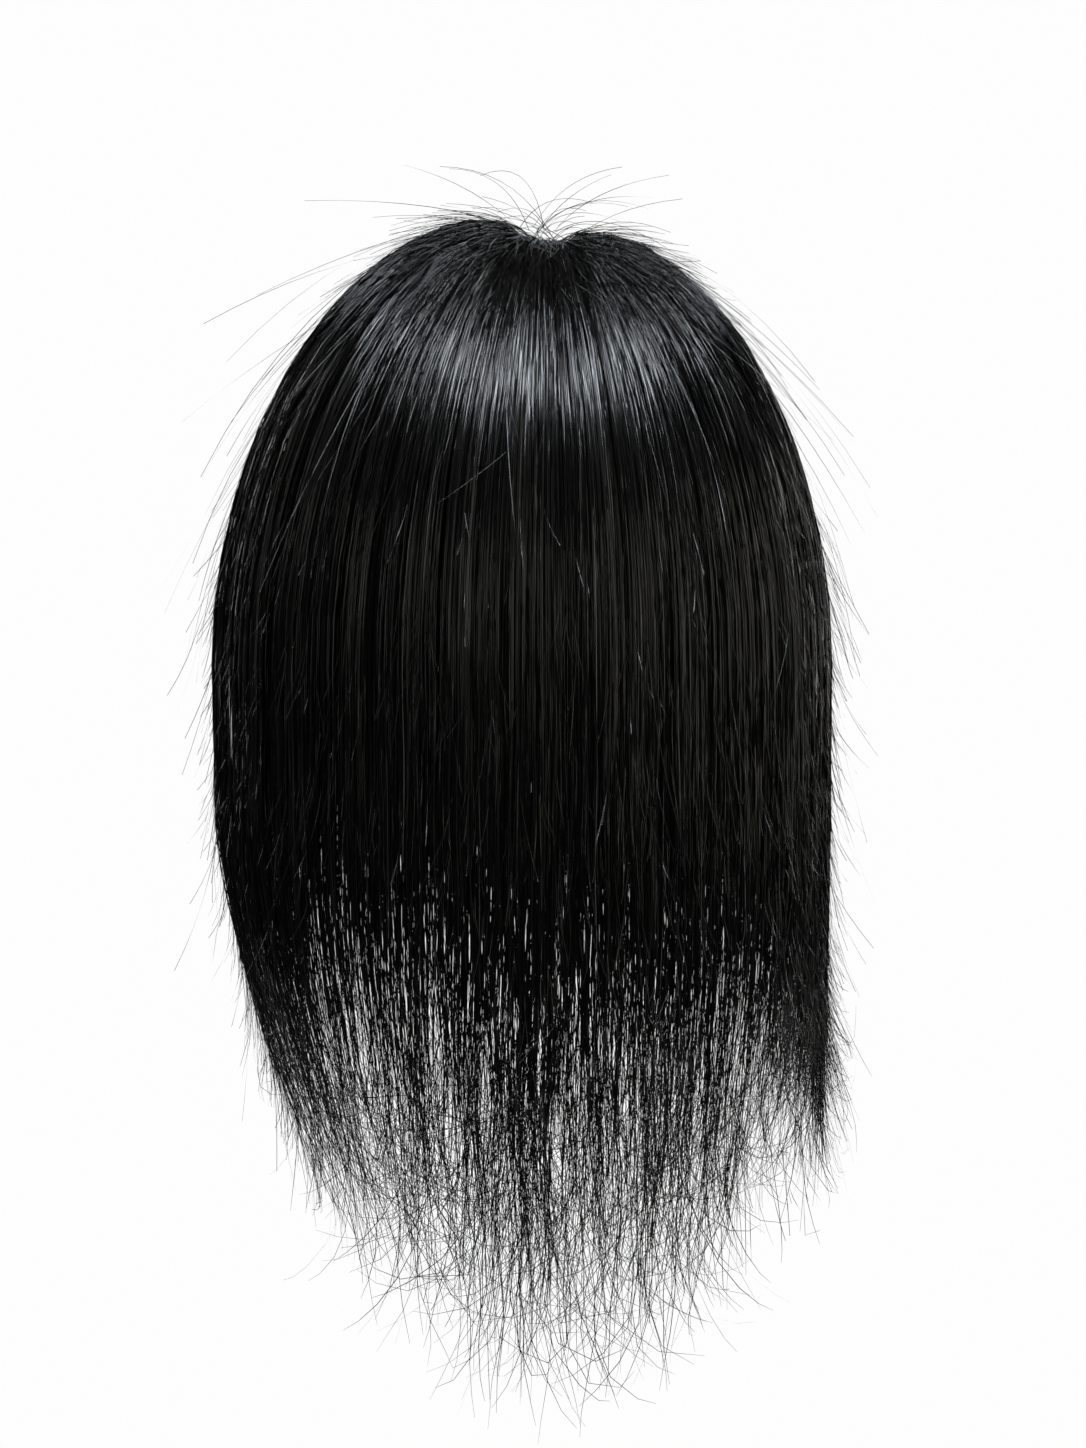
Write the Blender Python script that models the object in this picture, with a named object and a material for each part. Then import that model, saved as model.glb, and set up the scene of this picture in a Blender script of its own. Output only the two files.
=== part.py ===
"""A straight black hair topper: a thin base cap, hair sections that fall from a centre parting
and a crown whorl, and four plain snap clips under the cap.

Everything is laid out on one head surface. A point on it is lifted along the surface's normal:
the cap lies on it, the hair lies above the cap, and the clips lie under it.
The origin is the top of the scalp under the cap. +Z is up, -Y is the back of the head and +X is
the wearer's right. Angles run round the head from the back centre, and grow towards +X.
"""

import math
from collections import namedtuple

import bmesh
import bpy
from mathutils import Vector

# The head that the piece is worn on, in metres
HEAD_HALF_WIDTH = 0.080
HEAD_HALF_DEPTH = 0.099
CROWN_HEIGHT = 0.135

# The base cap and the clips under it
CAP_HALF_WIDTH = 0.058
CAP_HALF_LENGTH = 0.070
CAP_THICKNESS = 0.0012
CAP_SQUARENESS = 2.6
CLIP_LENGTH = 0.032
CLIP_WIDTH = 0.010
CLIP_THICKNESS = 0.0014
CLIP_INSET = 0.011
CLIP_END_SHARE = 0.4

# The parting and the whorl that the hair grows from
WHORL_BACK = 0.020
WHORL_RADIUS = 0.0025
PARTING_HALF_GAP = 0.0006
PARTING_EDGE = 0.003
WHORL_REACH_DEG = 66.0

# The hair: its depth over the scalp, its fall below the head's widest level, and its locks
ROOT_DEPTH = 0.0035
ROOT_RUN = 0.008
CROWN_DEPTH = 0.0155
SIDE_DEPTH = 0.0195
LOOSE_LIFT = 0.0075
HANG_LENGTH = 0.210
PART_FALL = 0.080
PART_SPREAD = 0.22
PART_WAVES = 0.42
GATHER_START = 0.045
GATHER_RUN = 0.150
GATHER_POWER = 1.6
THINNING_POWER = 0.8
TIP_POINT = 0.020
TIP_DEPTH_SHARE = 0.14
TIP_WIDTH_SHARE = 0.42
TIP_SPREAD = 0.11
TIP_SWAY = 0.8
CROWN_GROOVE = 0.14
HANG_GROOVE = 0.34
LOCK_FULLNESS = 0.10
LOCK_STRIDE = 0.1618
KIND_STRIDE = 0.37

# Clearances between pieces
SEAT_GAP = 0.0006
SIDE_GAP = 0.0003

# How finely each form is divided
CROWN_ROWS = 12
PART_ROW = CROWN_ROWS + 3
LAST_ROW = PART_ROW + 5
CROWN_ROW_SPREAD = 1.2
LOCK_STEPS = 2
CAP_RINGS = 9
CAP_SPOKES = 36
CLIP_STEPS = 10

# How the hair changes round the head. Lift, crown, side and hang are shares of LOOSE_LIFT,
# CROWN_DEPTH, SIDE_DEPTH and HANG_LENGTH, and gather is how far the tips draw in.
Station = namedtuple("Station", "degrees lift crown side hang gather")
STATIONS = (
    Station(-122, 0.8, 0.84, 0.78, 0.78, 0.30),
    Station(-105, 1.0, 1.00, 1.00, 0.82, 0.44),
    Station(-80, 1.0, 1.03, 1.02, 0.86, 0.50),
    Station(-45, 0.5, 0.96, 0.92, 0.88, 0.30),
    Station(0, 0.0, 0.80, 0.83, 1.00, 0.10),
    Station(45, 0.0, 0.72, 0.75, 0.90, 0.10),
    Station(80, 0.0, 0.65, 0.67, 0.82, 0.04),
    Station(105, 0.0, 0.65, 0.66, 0.78, 0.04),
    Station(122, 0.0, 0.62, 0.60, 0.74, 0.05),
)

# Each hair section, between two angles round the head
Section = namedtuple("Section", "name start end locks")
SECTIONS = (
    Section("front_hair_left", -122, -97, 5),
    Section("side_hair_left", -97, -70, 5),
    Section("back_hair_outer_left", -70, -42, 5),
    Section("back_hair_left", -42, -14, 5),
    Section("back_hair_center", -14, 14, 5),
    Section("back_hair_right", 14, 42, 5),
    Section("back_hair_outer_right", 42, 70, 5),
    Section("side_hair_right", 70, 97, 5),
    Section("front_hair_right", 97, 122, 5),
)

# Where each clip lies on the cap: the direction from the cap's middle to its edge
Clip = namedtuple("Clip", "name across along")
CLIPS = (
    Clip("snap_clip_front", 0, 1),
    Clip("snap_clip_back", 0, -1),
    Clip("snap_clip_left", -1, 0),
    Clip("snap_clip_right", 1, 0),
)

HAIR_BLACK = (0.012, 0.011, 0.011, 1.0)
NET_BLACK = (0.020, 0.017, 0.016, 1.0)
CLIP_BLACK = (0.030, 0.028, 0.028, 1.0)


def clear_scene():
    for thing in list(bpy.data.objects):
        bpy.data.objects.remove(thing, do_unlink=True)


def surface_material(name, color, roughness, metallic):
    material = bpy.data.materials.new(name)
    material.use_nodes = True
    shader = material.node_tree.nodes["Principled BSDF"]
    shader.inputs["Base Color"].default_value = color
    shader.inputs["Roughness"].default_value = roughness
    shader.inputs["Metallic"].default_value = metallic
    return material


def add_piece(name, mesh, material):
    mesh.materials.append(material)
    mesh.shade_smooth()
    mesh.set_sharp_from_angle(angle=math.radians(50))
    piece = bpy.data.objects.new(name, mesh)
    bpy.context.scene.collection.objects.link(piece)
    return piece


def finished_mesh(name, shape):
    bmesh.ops.recalc_face_normals(shape, faces=shape.faces)
    mesh = bpy.data.meshes.new(name)
    shape.to_mesh(mesh)
    shape.free()
    return mesh


def blend(low, high, share):
    return low + (high - low) * share


def station_value(column, degrees):
    """The column's value at this angle, eased between the two nearest stations."""
    for low, high in zip(STATIONS, STATIONS[1:]):
        if degrees <= high.degrees:
            break
    share = (degrees - low.degrees) / (high.degrees - low.degrees)
    share = min(1.0, max(0.0, share))
    eased = share * share * (3 - 2 * share)
    return blend(getattr(low, column), getattr(high, column), eased)


def head_point(across, along):
    """The point of the head's surface over this place in plan."""
    rest = 1 - (across / HEAD_HALF_WIDTH) ** 2 - (along / HEAD_HALF_DEPTH) ** 2
    return Vector((across, along, CROWN_HEIGHT * (math.sqrt(max(0.0, rest)) - 1)))


def head_normal(point):
    """Outwards from the head. Below its widest level the normal is level."""
    rise = max(0.0, point.z + CROWN_HEIGHT)
    return Vector(
        (
            point.x / HEAD_HALF_WIDTH**2,
            point.y / HEAD_HALF_DEPTH**2,
            rise / CROWN_HEIGHT**2,
        )
    ).normalized()


def brim_point(degrees):
    """Where the hair at this angle passes the head's widest level, in plan."""
    turn = math.radians(degrees)
    return Vector((HEAD_HALF_WIDTH * math.sin(turn), -HEAD_HALF_DEPTH * math.cos(turn)))


def root_point(degrees):
    """Where the hair at this angle grows from: round the whorl, or along the parting."""
    side = math.copysign(1.0, degrees)
    reach = min(abs(degrees), WHORL_REACH_DEG)
    turn = math.radians(reach)
    whorl = Vector(
        (
            side * WHORL_RADIUS * math.sin(turn),
            -WHORL_BACK - WHORL_RADIUS * math.cos(turn),
        )
    )
    parting_front = Vector((side * PARTING_HALF_GAP, CAP_HALF_LENGTH - PARTING_EDGE))
    front_reach = STATIONS[-1].degrees - WHORL_REACH_DEG
    share = (abs(degrees) - reach) / front_reach
    return whorl.lerp(parting_front, share)


def crown_place(degrees, row):
    """The head's surface under the hair at this angle, on a row above the widest level: the point,
    its normal, and the heights of the hair's inner and outer faces over it."""
    turn = 0.5 * math.pi * (row / CROWN_ROWS) ** CROWN_ROW_SPREAD
    root = root_point(degrees)
    plan = root.lerp(brim_point(degrees), math.sin(turn))
    point = head_point(plan.x, plan.y)
    lift = LOOSE_LIFT * station_value("lift", degrees) * math.sin(turn) ** 2
    inner = CAP_THICKNESS + SEAT_GAP + lift
    crown = CROWN_DEPTH * station_value("crown", degrees)
    side = SIDE_DEPTH * station_value("side", degrees)
    grown = 1 - math.exp(-(plan - root).length / ROOT_RUN)
    depth = blend(ROOT_DEPTH, blend(crown, side, math.sin(turn)), grown)
    return point, head_normal(point), inner, inner + depth


def hang_place(degrees, fall):
    """The same below the widest level, fall metres down, where the hair draws in and thins out."""
    plan = brim_point(degrees)
    normal = head_normal(Vector((plan.x, plan.y, -CROWN_HEIGHT)))
    drawn = max(0.0, fall - GATHER_START) / GATHER_RUN
    keep = 1 - station_value("gather", degrees) * drawn**GATHER_POWER
    point = Vector((plan.x * keep, plan.y * keep, -CROWN_HEIGHT - fall))
    side = SIDE_DEPTH * station_value("side", degrees)
    lift = LOOSE_LIFT * station_value("lift", degrees)
    outer = CAP_THICKNESS + SEAT_GAP + lift + side
    fallen = min(1.0, fall / (HANG_LENGTH * station_value("hang", degrees)))
    depth = side * blend(1.0, TIP_DEPTH_SHARE, fallen**THINNING_POWER)
    return point, normal, outer - depth, outer


def variation(degrees, kind):
    """A repeatable value from -1 to 1 that differs from lock to lock and from kind to kind."""
    return 2 * ((degrees * LOCK_STRIDE + kind * KIND_STRIDE) % 1.0) - 1


def fall_on_row(degrees, row, hang):
    """How far a row lies below the widest level, at this angle on a lock that hangs this far."""
    parted = PART_FALL * (1 + PART_SPREAD * math.sin(PART_WAVES * degrees))
    if row <= PART_ROW:
        return parted * (row - CROWN_ROWS) / (PART_ROW - CROWN_ROWS)
    return blend(parted, hang, (row - PART_ROW) / (LAST_ROW - PART_ROW))


def lock_ring(section, lock, row):
    """The points across one lock on one row: the outer ones from its start to its end, then the
    inner ones at its start and end. Below PART_ROW a lock narrows inside its share of the section."""
    width = (section.end - section.start) / section.locks
    middle = section.start + (lock + 0.5) * width
    hang = HANG_LENGTH * station_value("hang", middle)
    hang *= 1 - TIP_SPREAD * 0.5 * (1 + variation(middle, 1))
    freed = max(0, row - PART_ROW) / (LAST_ROW - PART_ROW)
    narrowed = blend(1.0, TIP_WIDTH_SHARE, freed**THINNING_POWER)
    sway = 0.5 * TIP_SWAY * (1 - narrowed) * variation(middle, 2)
    groove = blend(CROWN_GROOVE, HANG_GROOVE, row / LAST_ROW)
    crest = 1 + LOCK_FULLNESS * variation(middle, 3)
    outer_points = []
    inner_points = []
    for step in range(LOCK_STEPS + 1):
        share = step / LOCK_STEPS
        degrees = middle + width * ((share - 0.5) * narrowed + sway)
        if row <= CROWN_ROWS:
            point, normal, inner, outer = crown_place(degrees, row)
        else:
            point, normal, inner, outer = hang_place(degrees, fall_on_row(degrees, row, hang))
        if step in (0, LOCK_STEPS):
            inner_points.append(point + normal * inner)
            outer_points.append(point + normal * blend(inner, outer, 1 - groove))
        else:
            outer_points.append(point + normal * blend(inner, outer, crest))
    clear_of_neighbours(section, lock, outer_points)
    clear_of_neighbours(section, lock, inner_points)
    return outer_points, inner_points


def clear_of_neighbours(section, lock, points):
    """Draws the section's own two edges in, so that it keeps SIDE_GAP to the next sections."""
    if lock == 0:
        points[0] += (points[1] - points[0]).normalized() * SIDE_GAP / 2
    if lock == section.locks - 1:
        points[-1] += (points[-2] - points[-1]).normalized() * SIDE_GAP / 2


def hair_section(section, material):
    """One closed solid: locks that share their edges down to PART_ROW and hang free below it."""
    shape = bmesh.new()
    corners = {}

    def corner(face, row, lock, step, steps, point):
        key = (face, row, lock * steps + step) if row <= PART_ROW else (face, row, lock, step)
        if key not in corners:
            corners[key] = shape.verts.new(point)
        return corners[key]

    for lock in range(section.locks):
        rings = []
        for row in range(LAST_ROW + 1):
            outer, inner = lock_ring(section, lock, row)
            outer = [
                corner("outer", row, lock, step, LOCK_STEPS, point)
                for step, point in enumerate(outer)
            ]
            inner = [corner("inner", row, lock, step, 1, point) for step, point in enumerate(inner)]
            rings.append((outer, inner))
        for row, (above, below) in enumerate(zip(rings, rings[1:])):
            for step in range(LOCK_STEPS):
                shape.faces.new(
                    (above[0][step], above[0][step + 1], below[0][step + 1], below[0][step])
                )
            shape.faces.new((above[1][1], above[1][0], below[1][0], below[1][1]))
            if lock == 0 or row >= PART_ROW:
                shape.faces.new((above[1][0], above[0][0], below[0][0], below[1][0]))
            if lock == section.locks - 1 or row >= PART_ROW:
                shape.faces.new((above[0][-1], above[1][1], below[1][1], below[0][-1]))
        root_outer, root_inner = rings[0]
        shape.faces.new([*root_outer[::-1], *root_inner])
        close_tip(shape, rings[-1])
    return add_piece(section.name, finished_mesh(section.name, shape), material)


def close_tip(shape, ring):
    """Ends a lock in a point, TIP_POINT below its last ring."""
    around = [*ring[0], *ring[1][::-1]]
    middle = sum((corner.co for corner in around), Vector()) / len(around)
    tip = shape.verts.new(middle - Vector((0, 0, TIP_POINT)))
    for first, second in zip(around, [*around[1:], around[0]]):
        shape.faces.new((first, second, tip))


def rounded(value):
    """A cosine or sine turned into a squarer outline's."""
    return math.copysign(abs(value) ** (2 / CAP_SQUARENESS), value)


def base_cap(material):
    """A domed sheet that lies on the head, with a rounded oblong outline."""
    shape = bmesh.new()
    layers = []
    for height in (0.0, CAP_THICKNESS):
        crown = head_point(0, 0)
        layer = [shape.verts.new(crown + head_normal(crown) * height)]
        for ring in range(1, CAP_RINGS + 1):
            for spoke in range(CAP_SPOKES):
                turn = 2 * math.pi * spoke / CAP_SPOKES
                across = CAP_HALF_WIDTH * rounded(math.cos(turn)) * ring / CAP_RINGS
                along = CAP_HALF_LENGTH * rounded(math.sin(turn)) * ring / CAP_RINGS
                point = head_point(across, along)
                layer.append(shape.verts.new(point + head_normal(point) * height))
        layers.append(layer)
    for spoke in range(CAP_SPOKES):
        following = (spoke + 1) % CAP_SPOKES
        for layer in layers:
            shape.faces.new((layer[0], layer[1 + spoke], layer[1 + following]))
            for ring in range(CAP_RINGS - 1):
                first = 1 + ring * CAP_SPOKES
                second = first + CAP_SPOKES
                shape.faces.new(
                    (
                        layer[first + spoke],
                        layer[second + spoke],
                        layer[second + following],
                        layer[first + following],
                    )
                )
        rim = 1 + (CAP_RINGS - 1) * CAP_SPOKES
        shape.faces.new(
            (
                layers[0][rim + spoke],
                layers[0][rim + following],
                layers[1][rim + following],
                layers[1][rim + spoke],
            )
        )
    return add_piece("base_cap", finished_mesh("base_cap", shape), material)


def snap_clip(clip, material):
    """A plain curved plate under the cap's edge, tapered to both rounded ends."""
    outward = Vector((clip.across, clip.along))
    sideways = Vector((-clip.along, clip.across))
    center = Vector(
        (
            clip.across * (CAP_HALF_WIDTH - CLIP_INSET),
            clip.along * (CAP_HALF_LENGTH - CLIP_INSET),
        )
    )
    slope = head_normal(head_point(center.x, center.y)).z
    shape = bmesh.new()
    rings = []
    for step in range(CLIP_STEPS + 1):
        share = 2 * step / CLIP_STEPS - 1
        half_width = 0.5 * CLIP_WIDTH * blend(CLIP_END_SHARE, 1.0, math.sqrt(1 - share**2))
        ring = []
        for side, height in ((-1, 0), (1, 0), (1, 1), (-1, 1)):
            plan = center + sideways * (0.5 * CLIP_LENGTH * share)
            plan += outward * (side * half_width * slope)
            point = head_point(plan.x, plan.y)
            drop = SEAT_GAP + height * CLIP_THICKNESS
            ring.append(shape.verts.new(point - head_normal(point) * drop))
        rings.append(ring)
    for first, second in zip(rings, rings[1:]):
        for side in range(4):
            following = (side + 1) % 4
            shape.faces.new((first[side], first[following], second[following], second[side]))
    shape.faces.new(rings[0])
    shape.faces.new(rings[-1][::-1])
    return add_piece(clip.name, finished_mesh(clip.name, shape), material)


def main():
    clear_scene()
    hair = surface_material("black_hair", HAIR_BLACK, 0.35, 0.0)
    net = surface_material("cap_net", NET_BLACK, 0.8, 0.0)
    steel = surface_material("painted_clip", CLIP_BLACK, 0.4, 0.6)
    base_cap(net)
    for section in SECTIONS:
        hair_section(section, hair)
    for clip in CLIPS:
        snap_clip(clip, steel)


main()
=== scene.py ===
"""The looks of a straight black hair topper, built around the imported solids.

Each hair section is drawn strand by strand along the same flow that its solid follows: up from a
root on the base cap, over the head, down past its widest level, and out into thin curling tips.
"""

import math

import bpy
import numpy as np
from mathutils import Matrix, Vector


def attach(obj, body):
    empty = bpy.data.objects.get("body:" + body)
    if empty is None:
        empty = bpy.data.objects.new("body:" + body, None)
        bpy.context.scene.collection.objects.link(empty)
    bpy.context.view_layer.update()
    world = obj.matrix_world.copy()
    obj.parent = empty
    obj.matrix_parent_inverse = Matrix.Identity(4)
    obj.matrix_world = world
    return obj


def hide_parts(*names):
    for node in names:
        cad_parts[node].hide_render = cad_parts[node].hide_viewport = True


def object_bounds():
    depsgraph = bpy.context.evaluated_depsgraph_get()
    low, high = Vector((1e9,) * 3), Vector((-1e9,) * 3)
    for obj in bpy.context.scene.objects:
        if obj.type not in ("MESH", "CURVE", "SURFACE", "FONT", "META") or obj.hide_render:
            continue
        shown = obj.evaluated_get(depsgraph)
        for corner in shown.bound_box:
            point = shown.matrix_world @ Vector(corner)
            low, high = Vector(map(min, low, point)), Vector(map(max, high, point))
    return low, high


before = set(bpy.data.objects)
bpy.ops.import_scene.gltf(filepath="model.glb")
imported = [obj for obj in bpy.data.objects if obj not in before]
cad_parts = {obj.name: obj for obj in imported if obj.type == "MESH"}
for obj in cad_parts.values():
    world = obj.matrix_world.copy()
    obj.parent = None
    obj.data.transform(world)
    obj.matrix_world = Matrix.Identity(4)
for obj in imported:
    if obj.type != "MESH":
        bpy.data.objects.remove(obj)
cad_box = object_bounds()

# The head and the hair that lies on it, in metres, as in the solids
HEAD_HALF_WIDTH = 0.080
HEAD_HALF_DEPTH = 0.099
CROWN_HEIGHT = 0.135
CAP_HALF_WIDTH = 0.058
CAP_HALF_LENGTH = 0.070
CAP_SQUARENESS = 2.6
CAP_THICKNESS = 0.0012
SEAT_GAP = 0.0006
WHORL_BACK = 0.020
WHORL_RADIUS = 0.0025
PARTING_HALF_GAP = 0.0006
PARTING_EDGE = 0.003
WHORL_REACH_DEG = 66.0
ROOT_DEPTH = 0.0035
ROOT_RUN = 0.008
ROOT_START = 0.002
CROWN_DEPTH = 0.0155
SIDE_DEPTH = 0.0195
LOOSE_LIFT = 0.0075
HANG_LENGTH = 0.210
TIP_POINT = 0.020
GATHER_START = 0.045
GATHER_RUN = 0.150
GATHER_POWER = 1.6
TIP_DEPTH_SHARE = 0.14
THINNING_POWER = 0.8
QUARTER_TURN = math.pi / 2

# How the hair changes round the head, from the back centre towards +X. The rows up to gather are
# the solids'. Thin says how fast the strands run out on the way down, where 1 is the curve below,
# and blunt is the share of them that follows the blunt curve.
STATIONS = {
    "degrees": (-122, -105, -80, -62, -45, -30, -12, 0, 30, 45, 60, 72, 80, 105, 122),
    "lift": (0.80, 1.00, 1.00, 0.80, 0.50, 0.30, 0.10, 0, 0, 0, 0, 0, 0, 0, 0),
    "crown": (0.84, 1.00, 1.03, 1.00, 0.96, 0.91, 0.83, 0.80, 0.74, 0.72, 0.69, 0.66, 0.65, 0.65, 0.62),
    "side": (0.78, 1.00, 1.02, 0.98, 0.92, 0.89, 0.85, 0.83, 0.77, 0.75, 0.72, 0.69, 0.67, 0.66, 0.60),
    "hang": (0.78, 0.82, 0.86, 0.87, 0.88, 0.91, 0.98, 1.00, 0.95, 0.90, 0.87, 0.82, 0.79, 0.77, 0.74),
    "gather": (0.30, 0.46, 0.56, 0.50, 0.30, 0.20, 0.12, 0.10, 0.10, 0.10, 0.08, 0.05, 0.04, 0.04, 0.05),
    "thin": (2.50, 2.60, 2.20, 1.60, 1.50, 1.30, 1.15, 0.95, 1.10, 1.60, 1.95, 2.10, 1.90, 1.60, 1.40),
    "blunt": (0.10, 0.08, 0.05, 0, 0, 0, 0, 0, 0, 0, 0, 0.30, 0.80, 0.65, 0.45),
}

SECTIONS = {
    "front_hair_left": (-122, -97),
    "side_hair_left": (-97, -70),
    "back_hair_outer_left": (-70, -42),
    "back_hair_left": (-42, -14),
    "back_hair_center": (-14, 14),
    "back_hair_right": (14, 42),
    "back_hair_outer_right": (42, 70),
    "side_hair_right": (70, 97),
    "front_hair_right": (97, 122),
}
SNAP_CLIPS = ("snap_clip_front", "snap_clip_back", "snap_clip_left", "snap_clip_right")

# The share of strands that still hangs at each share of the full length, at the back
LENGTH_SHARES = (0.10, 0.20, 0.26, 0.33, 0.39, 0.52, 0.66, 0.79, 0.86, 0.93, 1.00, 1.06)
STILL_HANGING = (1.00, 0.97, 0.88, 0.68, 0.54, 0.40, 0.28, 0.17, 0.11, 0.06, 0.02, 0.00)
STILL_HANGING_BLUNT = (1.00, 1.00, 0.98, 0.92, 0.84, 0.60, 0.34, 0.14, 0.06, 0.02, 0.00, 0.00)
LEAST_UNEVEN = 0.8
UNEVEN_SPREAD = 0.4

# How many strands there are for each degree round the head, and how finely they are divided
OUTER_STRANDS = 60
UNDER_STRANDS = 12
CROWN_POINTS = 13
SHORT_SHARE = 0.40
SHORT_HANG_POINTS = 6
LONG_HANG_POINTS = 14
UNDER_CROWN_POINTS = 6
UNDER_HANG_POINTS = 9
CROWN_SPACING = (0.8, 1.2)
HANG_SPACING = 1.3

# Where strands lie between the scalp at 0 and the outside at 1, and how far down the cap, as a
# share of the way to the widest level, they are rooted
OUTER_LAYERS = 0.42
OUTER_LAYER_POWER = 1.5
OUTER_ROOT_REACH = 0.55
OUTER_ROOT_POWER = 3
ROOT_SCATTER = 0.02
UNDER_LAYERS = (0.05, 0.50)
UNDER_ROOTS = (0.35, 0.70)
LAST_ROOT = 0.72

# How thick strands are. A bold one is some strands that cling together near the crown.
STRAND_WIDTH = 0.00032
TIP_WIDTH = 0.00021
TAPER_RUN = 0.12
WIDTH_SPREAD = (0.75, 1.25)
END_RUN = 0.06
END_WIDTH = 0.35
BOLD_HAIRS = 0.16
BOLD_EXTRA = 0.9
BOLD_RUN = 0.11

# How strands gather into clumps and locks as they fall, by degrees round the head and by metres
# of the way from the parting or of the fall below the widest level
CROWN_RUN = 0.19
CLUMP_DEGREES = 0.55
CLUMP_PULL = 0.7
CLUMP_RUN = 0.20
LOCK_DEGREES = 3.2
LOCK_OFFSET = 0.3
LOCK_SHIFT = 0.6
LOCK_PULL = 0.4
LOCK_START = 0.05
LOCK_RUN = 0.17
LOCK_POWER = 1.2
FRAY_DEGREES = 0.45
FRAY_RUN = 0.30
FRONT_FRAY_DEGREES = 2.6
FRONT_START_DEG = 108
FRONT_RUN_DEG = 14
CLUMP_RELIEF = 0.10
LOCK_RELIEF = 0.08
RELIEF_RUN = 0.08

# How the ends at the two sides sweep towards the back
SWEEP_DEGREES = 15.0
SWEEP_START_DEG = 20
SWEEP_START_RUN_DEG = 35
SWEEP_END_DEG = 112
SWEEP_END_RUN_DEG = 30
SWEEP_START = 0.085
SWEEP_RUN = 0.11
SWEEP_LIMIT = 1.3
SWEEP_POWER = 1.5

# The waves of each strand and of its clump, which widen as the hair hangs more freely
FREEDOM_RUN = 0.20
FREEDOM_POWER = 1.5
WAVE_LENGTHS = (0.06, 0.14)
WAVE_HELD = 0.0001
WAVE_FREE = 0.0006
CLUMP_WAVE_HELD = 0.0002
CLUMP_WAVE_FREE = 0.0014
CLUMP_WAVE_RATE = 70
CLUMP_WAVE_RATE_SPREAD = 50
CLUMP_WAVE_PHASES = 7
WOBBLE_LENGTHS = (0.04, 0.08)
WOBBLE = 0.0003
WOBBLE_RUN = 0.03
WOBBLE_PHASES = 3

# The curls at the ends, which short strands have little of. No curl goes further out than the room.
CURL_LENGTHS = (0.03, 0.075)
CURL_BEND = 1.45
CURL_LEAST_BEND = 0.05
CURL_AIM = 0.9
CURL_ROOM = 0.012
SHORT_CURL = 0.2
CURL_FROM = 0.09
CURL_RUN = 0.10

# How a flat band stands for a round hair: its normals turn to either side across it, it twists
# slowly along its length, and its gloss is broken by small kinks
ROUND_TURN = math.radians(24)
TWIST = 0.6
TWIST_TURNS = (3, 9)
TWIST_STARTS = (0, 7)
KINK = 0.045
ROLL = 0.60
CLUMP_ROLL = 0.8
LOOSE_ROLL = 0.5

# Tones run from 0, nearly black, over 1, dark, to 2, which is a rare light hair
CLUMP_TONE = 0.3
STRAND_TONE = 0.4
BOLD_TONES = (0.5, 1.1)
LIGHT_HAIRS = 0.008
LIGHT_TONE = 2.0

# Each use of the repeatable values of a clump or lock has its own number
FOR_CLUMP_RELIEF, FOR_LOCK_RELIEF, FOR_TONE, FOR_ROLL = range(1, 5)
FOR_LOCK_SHIFT, FOR_WAVE_RATE, FOR_WAVE_PHASE, FOR_LENGTH = range(5, 9)

# Loose hairs. Each group leaves the hair between two runs, where 0 is the parting, 1 the widest
# level and 2 the full length, follows it for up to run_length, and rises and drifts aside.
LOOSE_HAIR_SEED = 77
LOOSE_HAIR_COLUMNS = ("count", "from_run", "to_run", "run_length", "lift", "swing", "width")
LOOSE_HAIR_GROUPS = (
    (1800, 0.70, 1.90, 0.16, 0.008, 0.006, 0.00025),
    (420, 0.75, 1.80, 0.24, 0.014, 0.010, 0.00024),
    (130, 0.10, 1.60, 0.50, 0.026, 0.034, 0.00023),
    (110, 0.00, 0.50, 0.70, 0.036, 0.040, 0.00023),
    (1100, 0.00, 0.25, 0.26, 0.009, 0.018, 0.00024),
)
LOOSE_POINTS = 10
LOOSE_LAYER = 0.97
LOOSE_REACH = (0.45, 1)
LOOSE_BOWS = (1.1, 2.2)
LOOSE_LIFT_POWER = 1.3
LOOSE_SWING_POWER = 1.7
LOOSE_SWING_SPREAD = 0.5
LOOSE_ROOT_WIDTH = 1.1
LOOSE_NARROWING = 0.45
LAST_RUN = 2.0
ROOM_SHARE = 0.028
ROOM_MARGIN = 0.0095

# Short hairs that rise from the parting
RISING_HAIRS = 44
RISING_WIDTH = 0.0002
RISING_LENGTHS = (0.015, 0.055)
RISING_LEANS = (0.15, 1.3)
RISING_DROOPS = (0.2, 0.8)
RISING_NARROWING = 0.5
RISING_ASIDE = 0.25
RISING_SPREAD = 0.004
RISING_BACK = 0.012
BACKWARD_LEAN = -0.25
BACKWARD_SPREAD = 0.35
RISING_HEIGHTS = (-0.001, 0.009)
RISING_FACING = (0.0, -1.0, -0.4)

# The dark sheet inside each section
CORE_COLUMNS = 61
CORE_CROWN_ROWS = 12
CORE_FALL_ROWS = 4
CORE_START = 0.04
CORE_FALL = 0.022
CORE_RAGGED = 0.020
CORE_LAYER = 0.52
CORE_THICKNESS = 0.0012
SHEET_TONE = 0.1

# The base cap's net, its bound edge and the tape under the parting
NET_PITCH = 0.0017
NET_THREAD = 0.00022
NET_STEPS = 120
NET_SLANTS_DEG = (45, -45)
NET_TONE = 0.5
BINDING_WIDTH = 0.007
BINDING_SWELL = 0.0004
BINDING_LEVELS = (0.75, 0.25)
BINDING_POINTS = 181
BINDING_RINGS = 5
TAPE_WIDTH = 0.010
TAPE_LENGTH_SHARE = 0.96
TAPE_LEVELS = (0.8, 0.3)
TAPE_POINTS = 61
TAPE_ROWS = 5

# The camera stands behind the piece, at the photograph's distance and height
IMAGE_HEIGHT = 1448
PIXELS_PER_METRE = 2990
CAMERA_DISTANCE = 1.35
CAMERA_ELEVATION = math.radians(2.0)
VIEW_CENTRE = (-0.0007, 0.0, -0.155)
SENSOR = 36.0

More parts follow.
